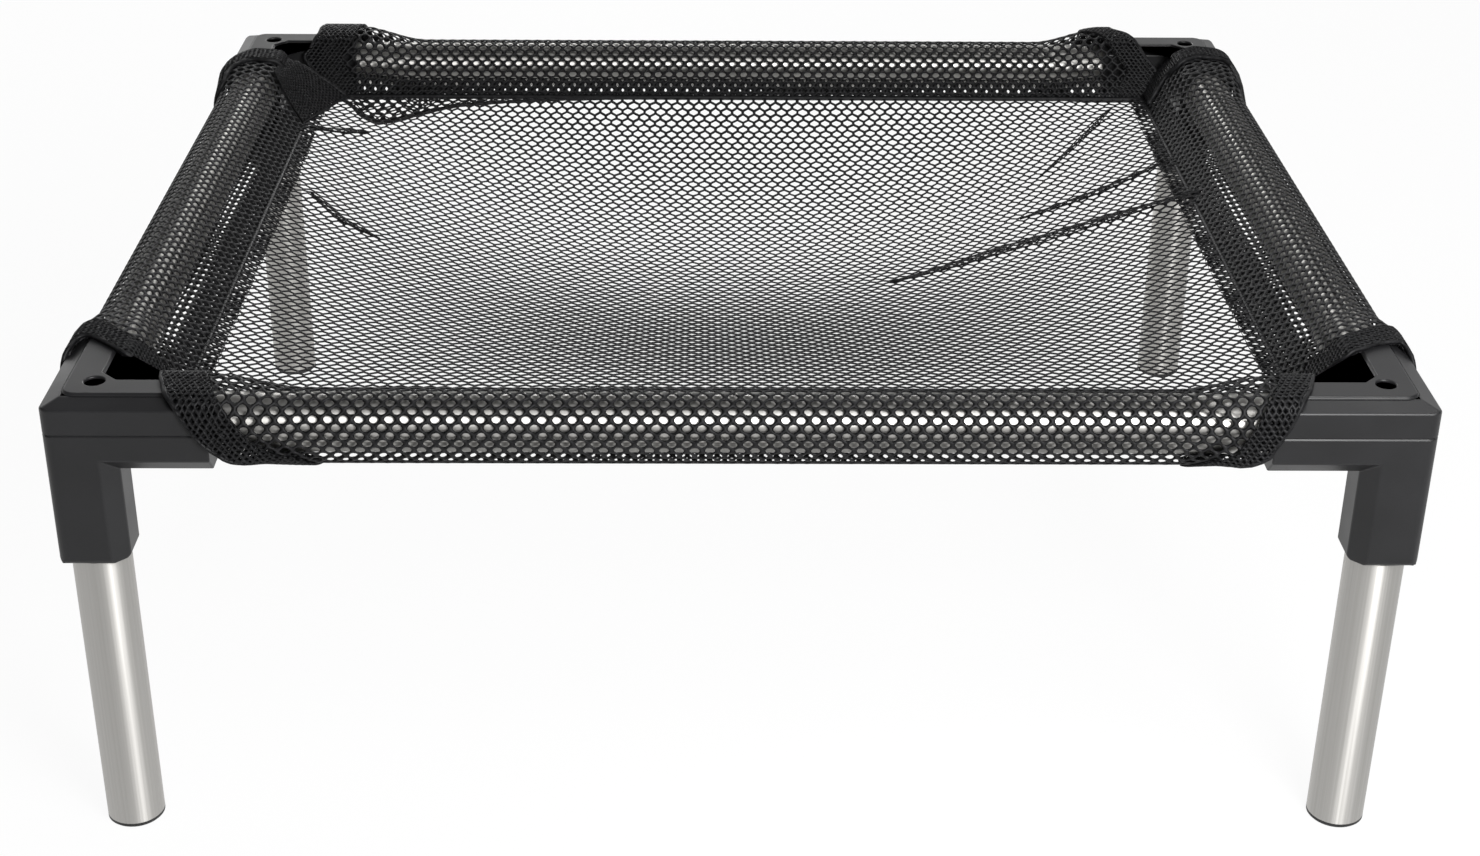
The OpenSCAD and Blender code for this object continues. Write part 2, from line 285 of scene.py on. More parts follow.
def plasticFinish(name, look):
    made, tree, bsdf = startMaterial(name)
    link = tree.links.new
    texture = useGroup(tree, grain, {"Grain Scale": look["grainScale"], "Patch Scale": look["patchScale"]})
    patches = texture.outputs["Patches"]
    link(colourBetween(tree, patches, look["dark"], look["light"]), bsdf.inputs["Base Color"])
    link(between(tree, patches, *look["rough"]), bsdf.inputs["Roughness"])
    bump = tree.nodes.new("ShaderNodeBump")
    bump.inputs["Strength"].default_value = look["bump"]
    bump.inputs["Distance"].default_value = look["bumpDeep"]
    link(texture.outputs["Grain"], bump.inputs["Height"])
    link(bump.outputs[0], bsdf.inputs["Normal"])
    bsdf.inputs["Specular IOR Level"].default_value = look["shine"]
    return made


def steelFinish(name, axis, look):
    made, tree, bsdf = startMaterial(name)
    link = tree.links.new
    stretch = tuple(look["along"] if letter == axis else look["across"] for letter in "XYZ")
    lines = useGroup(tree, streaks, {"Stretch": stretch}).outputs["Streaks"]
    link(colourBetween(tree, lines, look["dark"], look["light"]), bsdf.inputs["Base Color"])
    link(between(tree, lines, *look["rough"]), bsdf.inputs["Roughness"])
    bsdf.inputs["Metallic"].default_value = 1.0
    bsdf.inputs["Anisotropic"].default_value = look["anisotropy"]
    bsdf.inputs["Anisotropic Rotation"].default_value = look["turn"]
    tangent = tree.nodes.new("ShaderNodeTangent")
    tangent.direction_type = "RADIAL"
    tangent.axis = axis
    link(tangent.outputs[0], bsdf.inputs["Tangent"])
    return made


def yarnFinish(name, look):
    made, tree, bsdf = startMaterial(name)
    patches = useGroup(tree, grain, {"Patch Scale": look["patchScale"]}).outputs["Patches"]
    # the lighter specks in the yarn's colour are painted glints
    tree.links.new(colourBetween(tree, patches, look["dark"], look["light"]), bsdf.inputs["Base Color"])
    bsdf.inputs["Roughness"].default_value = look["rough"]
    bsdf.inputs["Specular IOR Level"].default_value = look["shine"]
    return made


finishes = {
    "corner": plasticFinish("blackPlastic", {
        "dark": (0.007, 0.007, 0.0075), "light": (0.011, 0.011, 0.012), "rough": (0.36, 0.46), "shine": 0.32,
        "bump": 0.12, "bumpDeep": 0.0002, "grainScale": 1400.0, "patchScale": 26.0}),
    "foot": plasticFinish("footPlastic", {
        "dark": (0.008, 0.008, 0.008), "light": (0.014, 0.014, 0.014), "rough": (0.5, 0.6), "shine": 0.4,
        "bump": 0.1, "bumpDeep": 0.0002, "grainScale": 1200.0, "patchScale": 40.0}),
    # the yarn's lighter specks are painted glints
    "yarn": yarnFinish("netYarn", {
        "dark": (0.002, 0.002, 0.0023), "light": (0.012, 0.012, 0.013), "rough": 0.5, "shine": 0.17,
        "patchScale": 450.0}),
}
steelLook = {
    "dark": (0.45, 0.44, 0.42), "light": (0.55, 0.54, 0.52), "rough": (0.42, 0.5),
    "anisotropy": 0.8, "turn": 0.25,  # polished along the tube
    "along": 6.0, "across": 900.0,  # streaks per metre
}
for axis in "XYZ":
    finishes["steel" + axis] = steelFinish("satinSteel" + axis, axis, steelLook)
print("finishes made")


# Netting laid on a sheet with Geometry Nodes

cellShape = {
    "holeTall": 1.25,  # room for the strands above and below a round hole, in half strands
    "holeFill": 0.97,  # share of that hole which stays open
}


def netCell(name, look):
    # one hole of the net and the halves of its strands
    # the rim of the hole is at height 0, the middles of the strands stand above and below it
    p, r, a = look["pitch"], look["row"], look["link"]
    half, thick, knot = look["strand"] / 2, look["thick"] / 2, look["knot"] / 2
    ring = [(p / 2, -a), (p / 2, a), (0, r - a), (-p / 2, a), (-p / 2, -a), (0, -(r - a))]
    outer = []
    for i, here in enumerate(ring):
        outer.append((*here, knot))
        if look["round"] and i not in (0, 3):
            there = ring[(i + 1) % 6]
            outer.append(((here[0] + there[0]) / 2, (here[1] + there[1]) / 2, thick))
    count = len(outer)
    inner = []
    if look["round"]:
        holeX, holeY = p / 2 - half, r - a - half * cellShape["holeTall"]
        fill = cellShape["holeFill"]
        for x, y, _ in outer:
            turn = math.atan2(y / holeY, x / holeX)
            inner.append((holeX * math.cos(turn) * fill, holeY * math.sin(turn) * fill, 0))
    else:
        for i in range(6):
            before, here, after = (np.array(ring[(i + k) % 6]) for k in (-1, 0, 1))
            inwards = []
            for start, end in ((before, here), (here, after)):
                way = (end - start) / np.linalg.norm(end - start)
                inwards.append(np.array((-way[1], way[0])))
            inset = (inwards[0] + inwards[1]) / (1 + np.dot(*inwards)) * half
            inner.append((*(here + inset), 0))
    points = outer + [(x, y, -z) for x, y, z in outer] + inner
    faces = []
    for i in range(count):
        j = (i + 1) % count
        faces.append((i, j, 2 * count + j, 2 * count + i))
        faces.append((count + j, count + i, 2 * count + i, 2 * count + j))
    return newObject(name, meshFrom(name, np.array(points) * mm, faces))


def pick(sockets, name):
    return next(s for s in sockets if s.name == name and s.enabled)


netRules = {
    "weld": 0.00004,  # points this near (m) become one
    "inside": 0.8,  # 1 on the sheet, 0 out on its rim: a hole whose middle has less is left out
    "inputs": {
        "Sheet": "Object", "Cell": "Object", "Yarn": "Material", "Columns": "Int", "Rows": "Int",
        "Pitch": "Float", "Row Step": "Float", "Start": "Vector", "Wobble": "Float", "Uneven": "Float",
    },
}


def nettingTree():
    tree = bpy.data.node_groups.new("Netting", "GeometryNodeTree")
    for name, kind in netRules["inputs"].items():
        socketIn(tree, name, "NodeSocket" + kind)
    socketOut(tree, "Net", "NodeSocketGeometry")
    node, link = tree.nodes.new, tree.links.new
    given, result = node("NodeGroupInput"), node("NodeGroupOutput")

    def maths(operation, a, b=None):
        made = node("ShaderNodeMath")
        made.operation = operation
        for socket, value in zip(made.inputs, (a, b)):
            if value is None:
                continue
            if isinstance(value, (int, float)):
                socket.default_value = value
            else:
                link(value, socket)
        return made.outputs[0]

    def vectors(operation, a, b):
        made = node("ShaderNodeVectorMath")
        made.operation = operation
        link(a, made.inputs[0])
        if isinstance(b, tuple):
            made.inputs[1].default_value = b
        elif operation == "SCALE":
            link(b, made.inputs["Scale"])
        else:
            link(b, made.inputs[1])
        return made.outputs[0]

    def moved(geometry, position, selection=None):
        made = node("GeometryNodeSetPosition")
        link(geometry, made.inputs["Geometry"])
        link(position, made.inputs["Position"])
        if selection is not None:
            link(selection, made.inputs["Selection"])
        return made.outputs[0]

    def welded(geometry):
        made = node("GeometryNodeMergeByDistance")
        link(geometry, made.inputs["Geometry"])
        made.inputs["Distance"].default_value = netRules["weld"]
        return made.outputs[0]

    # one point per hole, odd rows moved half a pitch
    points = node("GeometryNodePoints")
    link(maths("MULTIPLY", given.outputs["Columns"], given.outputs["Rows"]), points.inputs["Count"])
    number = node("GeometryNodeInputIndex").outputs[0]
    row = maths("FLOOR", maths("DIVIDE", maths("ADD", number, 0.5), given.outputs["Columns"]))
    column = maths("SUBTRACT", number, maths("MULTIPLY", row, given.outputs["Columns"]))
    odd = maths("MULTIPLY", maths("MODULO", row, 2.0), 0.5)
    place = node("ShaderNodeCombineXYZ")
    link(maths("MULTIPLY", maths("ADD", column, odd), given.outputs["Pitch"]), place.inputs[0])
    link(maths("MULTIPLY", row, given.outputs["Row Step"]), place.inputs[1])
    link(vectors("ADD", place.outputs[0], given.outputs["Start"]), points.inputs["Position"])

    # holes whose middle is off the sheet are left out; the others keep their middle for later
    where = node("GeometryNodeInputPosition").outputs[0]
    sheet = node("GeometryNodeObjectInfo")
    link(given.outputs["Sheet"], sheet.inputs["Object"])

    def stored(name, kind):
        made = node("GeometryNodeInputNamedAttribute")
        made.data_type = kind
        made.inputs["Name"].default_value = name
        return pick(made.outputs, "Attribute")

    flat = stored("flat", "FLOAT_VECTOR")

    def lookUp(value, kind, place=where, wanted="Value"):
        made = node("GeometryNodeSampleUVSurface")
        made.data_type = kind
        link(sheet.outputs["Geometry"], made.inputs["Mesh"])
        link(value, pick(made.inputs, "Value"))
        link(flat, next(s for s in made.inputs if "UV Map" in s.name))
        link(place, pick(made.inputs, "Sample UV"))
        return pick(made.outputs, wanted)

    inside = stored("inside", "FLOAT")
    cut = node("GeometryNodeDeleteGeometry")
    cut.domain = "POINT"
    link(points.outputs[0], cut.inputs["Geometry"])
    link(maths("LESS_THAN", lookUp(inside, "FLOAT"), netRules["inside"]), cut.inputs["Selection"])
    keep = node("GeometryNodeStoreNamedAttribute")
    keep.data_type, keep.domain = "FLOAT_VECTOR", "POINT"
    keep.inputs["Name"].default_value = "middle"
    link(cut.outputs[0], keep.inputs["Geometry"])
    link(where, pick(keep.inputs, "Value"))
    cell = node("GeometryNodeObjectInfo")
    link(given.outputs["Cell"], cell.inputs["Object"])
    copies = node("GeometryNodeInstanceOnPoints")
    link(keep.outputs[0], copies.inputs["Points"])
    link(cell.outputs["Geometry"], copies.inputs["Instance"])
    real = node("GeometryNodeRealizeInstances")
    link(copies.outputs[0], real.inputs[0])
    net = welded(real.outputs[0])

    # the lattice is pulled a little uneven
    uneven = node("ShaderNodeTexNoise")
    link(given.outputs["Uneven"], uneven.inputs["Scale"])
    uneven.inputs["Detail"].default_value = 2.0
    flatPlace = vectors("MULTIPLY", where, (1.0, 1.0, 0.0))
    link(flatPlace, uneven.inputs["Vector"])
    pull = vectors("SUBTRACT", uneven.outputs["Color"], (0.5, 0.5, 0.5))
    pull = vectors("SCALE", pull, given.outputs["Wobble"])
    pull = vectors("MULTIPLY", pull, (1.0, 1.0, 0.0))
    net = moved(net, vectors("ADD", where, pull))

    # outermost strands get a side wall that closes them
    beside = node("GeometryNodeInputMeshEdgeNeighbors")
    alone = node("FunctionNodeCompare")
    alone.data_type = "INT"
    alone.operation = "EQUAL"
    link(beside.outputs[0], pick(alone.inputs, "A"))
    pick(alone.inputs, "B").default_value = 1
    wall = node("GeometryNodeExtrudeMesh")
    wall.mode = "EDGES"
    wall.inputs["Offset Scale"].default_value = 0.0
    link(net, wall.inputs["Mesh"])
    link(alone.outputs[0], wall.inputs["Selection"])
    net = welded(moved(wall.outputs["Mesh"], flatPlace, wall.outputs["Top"]))

    # the net is laid on, each point standing off by its own height
    # a point past the rim is drawn in halfway to the middle of its hole, or onto it
    middle = stored("middle", "FLOAT_VECTOR")
    halfway = vectors("MULTIPLY", vectors("ADD", where, middle), (0.5, 0.5, 0.5))
    target = middle
    for place in (halfway, where):
        choice = node("GeometryNodeSwitch")
        choice.input_type = "VECTOR"
        link(lookUp(inside, "FLOAT", place, "Is Valid"), pick(choice.inputs, "Switch"))
        link(target, pick(choice.inputs, "False"))
        link(place, pick(choice.inputs, "True"))
        target = pick(choice.outputs, "Output")
    onSheet = lookUp(where, "FLOAT_VECTOR", target)
    standing = lookUp(stored("outward", "FLOAT_VECTOR"), "FLOAT_VECTOR", target)
    height = node("ShaderNodeSeparateXYZ")
    link(where, height.inputs[0])
    net = moved(net, vectors("ADD", onSheet, vectors("SCALE", standing, height.outputs[2])))
    soft = node("GeometryNodeSetShadeSmooth")
    link(net, soft.inputs["Geometry"])
    dressed = node("GeometryNodeSetMaterial")
    link(soft.outputs[0], dressed.inputs["Geometry"])
    link(given.outputs["Yarn"], dressed.inputs["Material"])
    link(dressed.outputs[0], result.inputs["Net"])
    return tree


netting = nettingTree()


def layNet(name, sheet, cell, look, low, high, start=(0.0, 0.0)):
    # low and high: the flat corners of the sheet in metres
    made = newObject(name, bpy.data.meshes.new(name))
    modifier = made.modifiers.new("netting", "NODES")
    modifier.node_group = netting
    values = {
        "Sheet": sheet, "Cell": cell, "Yarn": finishes["yarn"],
        "Columns": int((high[0] - low[0]) / (look["pitch"] * mm)) + 2,
        "Rows": int((high[1] - low[1]) / (look["row"] * mm)) + 2,
        "Pitch": look["pitch"] * mm, "Row Step": look["row"] * mm,
        "Start": (low[0] + start[0] * look["pitch"] * mm, low[1] + start[1] * look["row"] * mm, 0.0),
        "Wobble": look["wobble"] * mm, "Uneven": look["uneven"],
    }
    for socket in netting.interface.items_tree:
        if socket.in_out == "INPUT":
            modifier[socket.identifier] = values[socket.name]
    made.update_tag()
    mesh = asMesh(made)
    mesh.attributes.remove(mesh.attributes["middle"])
    mesh.name = name
    return mesh


looks = {  # sizes in mm; the lattice is pulled uneven by up to half the wobble
    "bed": {"pitch": 6.4, "row": 4.0, "link": 1.0, "strand": 1.6, "thick": 0.75, "knot": 0.95,
            "round": False, "wobble": 1.5, "uneven": 140.0},
    "sleeve": {"pitch": 6.3, "row": 3.6, "link": 0.55, "strand": 2.15, "thick": 0.8, "knot": 1.0,
               "round": True, "wobble": 1.2, "uneven": 140.0},
    "side": {"pitch": 6.3, "row": 3.6, "link": 0.55, "strand": 2.75, "thick": 0.8, "knot": 1.0,
             "round": True, "wobble": 1.4, "uneven": 140.0},
    "fold": {"pitch": 4.0, "row": 2.6, "link": 0.5, "strand": 1.3, "thick": 0.7, "knot": 0.9,
             "round": False, "wobble": 2.0, "uneven": 280.0},
    "hem": {"pitch": 2.7, "row": 1.8, "link": 0.35, "strand": 1.25, "thick": 0.7, "knot": 1.1,
            "round": False, "wobble": 2.0, "uneven": 280.0},
}
cells = {name: netCell(name + "Cell", look) for name, look in looks.items()}


def dressSheet(name, points, flat, net="sleeve", start=(0.0, 0.0)):
    sheet = helperSheet(name, points, flat)
    low, high = flat.reshape(-1, 2).min(0), flat.reshape(-1, 2).max(0)
    mesh = layNet(name, sheet, cells[net], looks[net], low, high, start)
    bpy.data.objects.remove(sheet)
    return mesh


def dressYarn(piece):
    piece.data.materials.clear()
    piece.data.materials.append(finishes["yarn"])
    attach(piece, "frame")


# The bed panel

bed = {
    "across": 161, "deep": 133,  # points of its helper sheet
    "tuck": 3.0,  # goes this far under the seam band
    "lean": 0.6,  # how far the deepest place lies to the rear
    "fade": 0.8,  # how much of a fold's height is gone at its far end
    "folds": [  # lines on the sheet (mm), ridge height, half width of the ridge, width of the doubled net
        ([(246.7, 45.4), (194.3, 42.1), (140.7, 31.1), (81.1, 5.8)], 2.2, 6.0, 8.5),
        ([(237.3, 95.6), (200, 80.7), (155.5, 68)], 1.4, 5.0, 4.5),
        ([(-225.2, 56.1), (-206.7, 34.3), (-184.4, 21.2)], 1.6, 5.0, 4.0),
        ([(-238, 142.5), (-205.7, 152.9)], 1.4, 5.0, 4.5),
        ([(222, 183.3), (205.7, 157.9), (188.2, 133.8), (171.8, 114)], 0.9, 4.0, 3.2),
    ],
}


def nearLine(x, y, line):
    # distance to a line of points, and how far along it (0 to 1)
    best = np.full(x.shape, 1e9)
    along = np.zeros(x.shape)
    line = np.array(line, float)
    for i in range(len(line) - 1):
        way = line[i + 1] - line[i]
        t = np.clip(((x - line[i, 0]) * way[0] + (y - line[i, 1]) * way[1]) / np.dot(way, way), 0, 1)
        gap = np.hypot(x - line[i, 0] - t * way[0], y - line[i, 1] - t * way[1])
        along = np.where(gap < best, (i + t) / (len(line) - 1), along)
        best = np.minimum(best, gap)
    return best, along


def leanFall(t, lean):
    return np.clip(1 - t * t, 0, 1) * (1 + lean * t)


def bedHeight(x, y):
    lean = bed["lean"]
    peak = (math.sqrt(1 + 3 * lean * lean) - 1) / (3 * lean)
    fallX = np.clip(1 - (x / cot["bedX"]) ** 2, 0, 1)
    fallY = leanFall(y / cot["bedY"], lean) / leanFall(peak, lean)
    z = cot["railZ"] - cot["seamLow"] - cot["bedSag"] * fallX * fallY
    for line, height, width, _ in bed["folds"]:
        gap, along = nearLine(x, y, line)
        z = z + height * np.exp(-(gap / width) ** 2) * (1 - bed["fade"] * along)
    return z


def bedPatch(x, y, lift=0.0):
    # points of a part of the bed, and its flat places
    return np.stack([x, y, bedHeight(x, y) + lift], -1) * mm, np.stack([x, y], -1) * mm


reach = (cot["bedX"] + bed["tuck"], cot["bedY"] + bed["tuck"])
bedPlaces = np.meshgrid(np.linspace(-reach[0], reach[0], bed["across"]),
                        np.linspace(-reach[1], reach[1], bed["deep"]))
bedMesh = dressSheet("bedNet", *bedPatch(*bedPlaces), "bed")
bedNet = newObject("bedNet", bedMesh)
print("bed net:", len(bedMesh.polygons), "faces")


# Folds pressed into the bed, where the net lies double, and the sewn edges at its sides

foldShape = {
    "ends": 0.12,  # width at a fold's ends, as a share of its middle
    "lift": 0.9, "along": 60, "across": 5,  # height over the bed, and points of its sheet
    "edge": 8.0, "edgeLift": 0.8, "edgeAlong": 90, "edgeAcross": 8,  # sewn strips above and below the sides
    "edgeStarts": ((0.4, 0.3), (0.1, 0.7)),  # where the cells of the upper and lower strip begin
}


def foldStrip(line, width):
    middle = spread(line, foldShape["along"])
    ahead = np.gradient(middle, axis=0)
    ahead /= np.linalg.norm(ahead, axis=1, keepdims=True)
    side = np.stack([-ahead[:, 1], ahead[:, 0]], 1)
    ends = foldShape["ends"]
    half = width / 2 * (ends + (1 - ends) * np.sin(np.pi * np.linspace(0, 1, len(middle))))
    across = np.linspace(-1, 1, foldShape["across"])
    places = middle[None] + across[:, None, None] * (half[:, None] * side)[None]
    points, _ = bedPatch(places[..., 0], places[..., 1], foldShape["lift"])
    flat = np.stack(np.broadcast_arrays(runOf(middle)[None], across[:, None] * half[None]), -1) * mm
    return dressSheet("foldNet", points, flat, "fold")


foldParts = [foldStrip(line, width) for line, _, _, width in bed["folds"]]
for way in (-1, 1):
    x = np.linspace(reach[0] - bed["tuck"] - foldShape["edge"], reach[0], foldShape["edgeAcross"])
    x = x if way > 0 else -x[::-1]
    places = np.meshgrid(x, np.linspace(-reach[1], reach[1], foldShape["edgeAlong"]))
    for lift, start in zip((foldShape["edgeLift"], -foldShape["edgeLift"]), foldShape["edgeStarts"]):
        foldParts.append(dressSheet("edgeNet", *bedPatch(*places, lift), "sleeve", start))
bedFolds = newObject("bedFolds", joined("bedFolds", foldParts))
dressYarn(bedNet)
dressYarn(bedFolds)
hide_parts("bed_panel")
print("bed folds:", len(bedFolds.data.polygons), "faces")


# The four sleeves

sleeveShape = {
    "close": 1.3,  # how far the net stands off the rail
    "armEnd": 54.0, "flareRun": 40.0,  # as wide as its mouth up to the arm's end, then it narrows in this run
    "mouthHalf": 15.8, "mouthTall": 18.9, "mouthDrop": 1.8, "mouthSquare": 5.0,  # its rounded-square mouth
    "underHug": 0.9, "hugSpan": (0.45, 0.9),  # how much less it widens under the rail, and where
    "slack": 4.0, "mouthSlack": 1.5, "sag": 1.5,  # how far it hangs below the rail and on the way to the seam
    "topTurn": 130.5, "lowTurn": -100.0, "layerGap": 0.9,  # where it leaves the rail for the seam
    "mitre": 0.5,  # it stops this far short of the diagonal to the next sleeve
    "probe": 50.0,  # distance from the leg at which the mouth's section is taken
    "upperCount": 12, "roundCount": 40, "lowerCount": 14, "stations": 90, "hemStations": 10,
}
# bulge: how far the outer side stands off; rise: how far each mouth lifts on top
# hems and proud: width of the doubled hem at each end, and how far it stands out
# ends: each mouth as turns round the rail (90 on top, 0 outside, -90 below) and distances from the leg axis
sleeves = {
    "front": {
        "net": "sleeve", "centre": (0, -1), "along": (1, 0), "half": "legX",
        "bulge": 0.0, "rise": (0.0, 0.0), "hems": (20.0, 14.0), "proud": (0.9, 0.9),
        "ends": ([(180, 32.4), (150, 32.2), (123, 31.5), (107, 32.6), (85, 35), (62, 37.8), (42, 42.8),
                  (13, 48.5), (-4, 51.8), (-12, 55), (-28, 61.5), (-41, 70.8), (-90, 79), (-180, 32.4)],
                 [(180, 32.4), (150, 33), (123, 34), (107, 36), (77, 39.5), (46, 45.8), (25, 49),
                  (-1, 53), (-20, 55.8), (-30, 61.5), (-33, 65.5), (-90, 77), (-180, 32.4)])},
    "rear": {
        "net": "sleeve", "centre": (0, 1), "along": (1, 0), "half": "legX",
        "bulge": 0.0, "rise": (4.0, 4.0), "hems": (22.0, 17.0), "proud": (0.9, 0.9),
        "ends": ([(180, 32.4), (166, 33), (144, 24), (134, 29), (112, 32.5), (90, 32.5), (60, 35),
                  (0, 42), (-90, 79), (-180, 32.4)],
                 [(180, 32.4), (155, 23.8), (150, 26.5), (139, 31), (128, 35), (102, 39.8), (81, 47.5),
                  (50, 49), (0, 50), (-90, 79), (-180, 32.4)])},
    "left": {
        "net": "side", "centre": (-1, 0), "along": (0, 1), "half": "legY",
        "bulge": 2.0, "rise": (0.0, 0.0), "hems": (15.0, 16.0), "proud": (0.9, 2.0),
        "ends": ([(180, 32.4), (150, 32.8), (139, 32.8), (125, 30.2), (110, 34.8), (90, 41.8), (70, 47.2),
                  (57, 46.8), (51, 38), (30, 32), (0, 34), (-40, 46), (-90, 72), (-180, 32.4)],
                 [(180, 32.4), (157, 25), (136, 30.2), (109, 32.5), (86, 31), (75, 35), (61, 44.2),
                  (55, 52), (49, 60), (0, 62), (-90, 72), (-180, 32.4)])},
    "right": {
        "net": "side", "centre": (1, 0), "along": (0, 1), "half": "legY",
        "bulge": 3.6, "rise": (0.0, 0.0), "hems": (15.0, 15.0), "proud": (0.9, 2.0),
        "ends": ([(180, 32.4), (157, 38.8), (144, 37.2), (130, 34.2), (106, 37.5), (86, 42.2), (68, 43.8),
                  (52, 46), (47, 39), (30, 34), (0, 36), (-40, 48), (-90, 72), (-180, 32.4)],
                 [(180, 32.4), (152, 20.8), (136, 26), (120, 25.2), (97, 20.2), (64, 24), (49, 30),
                  (39, 52), (0, 60), (-90, 72), (-180, 32.4)])},
}


def sectionPoint(zone, f, flared, slack, rise, bulge, lift=0.0):
    # a point of the sleeve's section: zone 0 seam to rail, 1 round the rail, 2 back to the seam
    s = sleeveShape
    seamH = -cot["seamIn"]
    upV, lowV = -cot["seamLow"] + s["layerGap"] + lift, -cot["seamLow"] - s["layerGap"] - lift
    topTurn, lowTurn = math.radians(s["topTurn"]), math.radians(s["lowTurn"])
    turn = {0: topTurn, 1: topTurn + (lowTurn - topTurn) * f, 2: lowTurn}[zone]
    c, d = math.cos(turn), math.sin(turn)
    flared = flared * (1 - s["underHug"] * smoothStep(*s["hugSpan"], -d))
    radius = cot["tubeR"] + s["close"] + lift
    square = s["mouthSquare"]
    wide, tall = abs(c) / (s["mouthHalf"] + lift), abs(d) / (s["mouthTall"] + lift)
    mouth = (wide ** square + tall ** square) ** (-1 / square)
    h = (radius * c + bulge * max(0, c) ** 2) * (1 - flared) + mouth * c * flared
    v = radius * d * (1 - flared) + (mouth * d - s["mouthDrop"]) * flared
    v = v - slack * max(0, -d) ** 1.5 + rise * max(0, d) ** 2
    if zone == 0:
        h, v = seamH + (h - seamH) * f, upV + (v - upV) * f
        turn = math.pi + (topTurn - math.pi) * f
    if zone == 2:
        h, v = h + (seamH - h) * f, v + (lowV - v) * f - s["sag"] * 4 * f * (1 - f)
        turn = lowTurn + (-math.pi - lowTurn) * f
    return h, v, math.degrees(turn)


def zones():
    s = sleeveShape
    steps = [(0, f) for f in np.linspace(0, 1, s["upperCount"], endpoint=False)]
    steps += [(1, f) for f in np.linspace(0, 1, s["roundCount"], endpoint=False)]
    return steps + [(2, f) for f in np.linspace(0, 1, s["lowerCount"])]


def mouthOf(end, turn, h):
    turns, gaps = zip(*end)
    found = np.interp(-turn, [-t for t in turns], gaps)
    return max(found, -h + sleeveShape["mitre"])


def sleevePoint(side, s, zone, f, lift=0.0):
    shape, lay = sleeveShape, sleeves[side]
    half = cot[lay["half"]]
    fromLeg = half - np.abs(s)
    flared = 1 - smoothStep(shape["armEnd"], shape["armEnd"] + shape["flareRun"], fromLeg)
    slack = shape["slack"] + (shape["mouthSlack"] - shape["slack"]) * flared
    rise = np.where(s < 0, *lay["rise"]) * flared
    h, v, turn = sectionPoint(zone, f, flared, slack, rise, lay["bulge"], lift)
    outX, outY = lay["centre"]
    alongX, alongY = lay["along"]
    x = outX * (cot["legX"] + h) + alongX * s
    y = outY * (cot["legY"] + h) + alongY * s
    return np.stack([x, y, cot["railZ"] + v], -1), h, turn


def sleeveSheet(side, lift=0.0, hem=None, steps=None):
    # hem: None for the whole sleeve, or (end number, width) for the doubled hem at one mouth
    lay = sleeves[side]
    half = cot[lay["half"]]
    points, flat = [], []
    girth, last = 0.0, None
    for zone, f in steps or zones():
        middle, _, _ = sleevePoint(side, np.array([0.0]), zone, f, lift)
        if last is not None:
            girth += float(np.linalg.norm(middle[0] - last))
        last = middle[0]
        _, hEnd, turn = sleevePoint(side, np.array([half - sleeveShape["probe"]]), zone, f, lift)
        low = -(half - mouthOf(lay["ends"][0], turn, hEnd[0]))
        high = half - mouthOf(lay["ends"][1], turn, hEnd[0])
        if hem:
            end, width = hem
            low, high = (low, low + width) if end == 0 else (high - width, high)
        s = np.linspace(low, high, sleeveShape["hemStations" if hem else "stations"])
        row, _, _ = sleevePoint(side, s, zone, f, lift)
        points.append(row)
        flat.append(np.stack([s, np.full(s.shape, girth)], -1))
    return np.array(points) * mm, np.array(flat) * mm


rolled = {"uneven": 0.35, "scale": 300, "points": 110}  # a net's rolled edge, of uneven thickness


def rolledEdge(name, path, radius, count=rolled["points"]):
    path = spread(path, count)
    uneven = np.array([1 + rolled["uneven"] * noise.noise(Vector(p) * rolled["scale"]) for p in path])
    return roundCord(name, path, np.broadcast_to(radius, count) * uneven)


seamStrip = {  # doubled cloth beside the bed's seam
    "steps": [(0, f) for f in np.linspace(0, 0.42, 8)],  # from the seam 0.42 of the way to the rail
    "layers": ((-0.9, (0.5, 0.3)), (-1.7, (0.2, 0.6))),  # lift, and where the cells begin
}
hemShape = {
    "under": -0.8, "starts": ((0.5, 0.35), (0.1, 0.8)),  # lift of the inner layer, and where the cells begin
    "fold": 0.5, "cuff": 0.4, "cuffFrom": 1.0,  # rolled edges; a hem prouder than this has one at both edges
}
nets = {}
for side, lay in sleeves.items():
    parts = [dressSheet(side + "SleeveNet", *sleeveSheet(side), lay["net"])]
    for lift, start in seamStrip["layers"]:
        sheet, flat = sleeveSheet(side, lift=lift, steps=seamStrip["steps"])
        parts.append(dressSheet(side + "SeamNet", sheet, flat, "sleeve", start))
    nets[side + "SleeveNet"] = parts
    hems = []
    for end in (0, 1):
        width, proud = lay["hems"][end], lay["proud"][end]
        for lift, start in zip((proud, hemShape["under"]), hemShape["starts"]):
            sheet, flat = sleeveSheet(side, lift=lift, hem=(end, width))
            hems.append(dressSheet(side + "HemNet", sheet, flat, "hem", start))
        mouth, inner = (0, -1) if end == 0 else (-1, 0)
        sheet, _ = sleeveSheet(side, lift=proud / 2, hem=(end, width))
        hems.append(rolledEdge(side + "HemFold", sheet[:, mouth], (hemShape["fold"] + proud / 2) * mm))
        if proud > hemShape["cuffFrom"]:
            hems.append(rolledEdge(side + "CuffFold", sheet[:, inner], (hemShape["cuff"] + proud / 2) * mm))
    nets[side + "Hems"] = hems


# At the rear left the side sleeve's hem runs on over the bed's corner, and the rear edge droops in a fold

